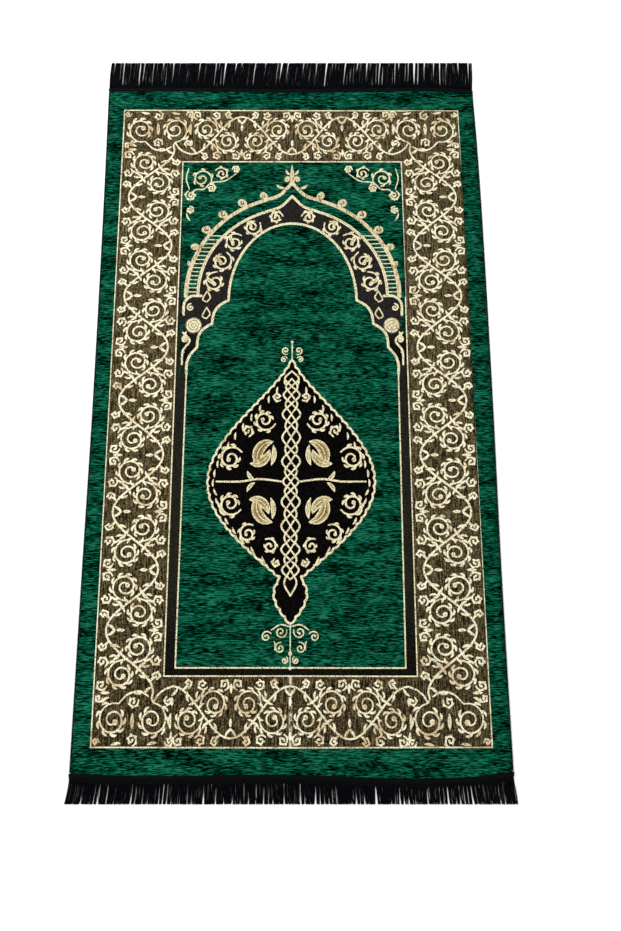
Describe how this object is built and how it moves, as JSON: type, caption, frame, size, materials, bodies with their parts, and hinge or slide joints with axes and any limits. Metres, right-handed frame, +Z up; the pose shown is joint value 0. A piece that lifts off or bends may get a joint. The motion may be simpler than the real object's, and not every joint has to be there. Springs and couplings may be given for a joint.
{
  "type": "prayer rug",
  "caption": "Flat woven prayer rug with a niche and medallion design, scrolled border, overcast sides and a yarn fringe on both ends.",
  "frame": {"origin": "centre of the cloth's underside, on the surface that the rug lies on", "axes": "+Y along the rug to the end with the niche, +X across it to the right, +Z up out of the patterned face"},
  "size_m": [0.6947, 1.261, 0.0039],
  "materials": {
    "woven_cloth": "chenille figured in gold, taupe and black",
    "edge_thread": "matt overcast thread",
    "heading_tape": "matt woven tape",
    "fringe_yarn": "soft yarn with a slight sheen"
  },
  "bodies": {
    "root": {"woven_panel": "woven_cloth", "side_serging_left": "edge_thread", "side_serging_right": "edge_thread", "fringe_tape_far": "heading_tape", "fringe_tape_near": "heading_tape", "fringe_far": "fringe_yarn", "fringe_near": "fringe_yarn"}
  },
  "joints": []
}
